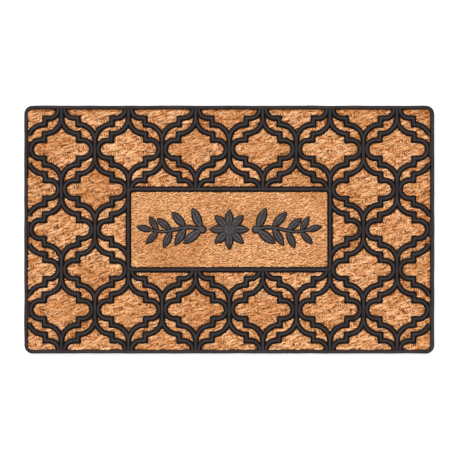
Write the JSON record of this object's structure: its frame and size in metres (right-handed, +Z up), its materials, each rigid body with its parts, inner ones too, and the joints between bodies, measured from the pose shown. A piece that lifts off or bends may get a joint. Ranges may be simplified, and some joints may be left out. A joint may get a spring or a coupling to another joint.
{
  "type": "door mat",
  "caption": "Rectangular door mat of woven coir in a studded rubber tray, under an openwork rubber grid, with a framed centre panel and a leaf ornament.",
  "frame": {"origin": "middle of the mat on the floor, under the centre of its length and width", "axes": "+X along the long sides, +Y along the short sides, +Z up from the floor"},
  "size_m": [0.7516, 0.4544, 0.012],
  "materials": {
    "tray_rubber": "matt moulded charcoal rubber",
    "grid_rubber": "matt moulded charcoal rubber",
    "ornament_rubber": "matt moulded rubber with a brushed top",
    "woven_coir": "coarse basket weave of natural coir yarn",
    "fine_coir": "fine flat coir pile"
  },
  "bodies": {
    "root": {"backing_tray": "tray_rubber", "coir_field": "woven_coir", "coir_panel": "fine_coir", "trellis_grid": "grid_rubber", "panel_frame": "grid_rubber", "sprig_left": "ornament_rubber", "rosette": "ornament_rubber", "sprig_right": "ornament_rubber"}
  },
  "joints": []
}
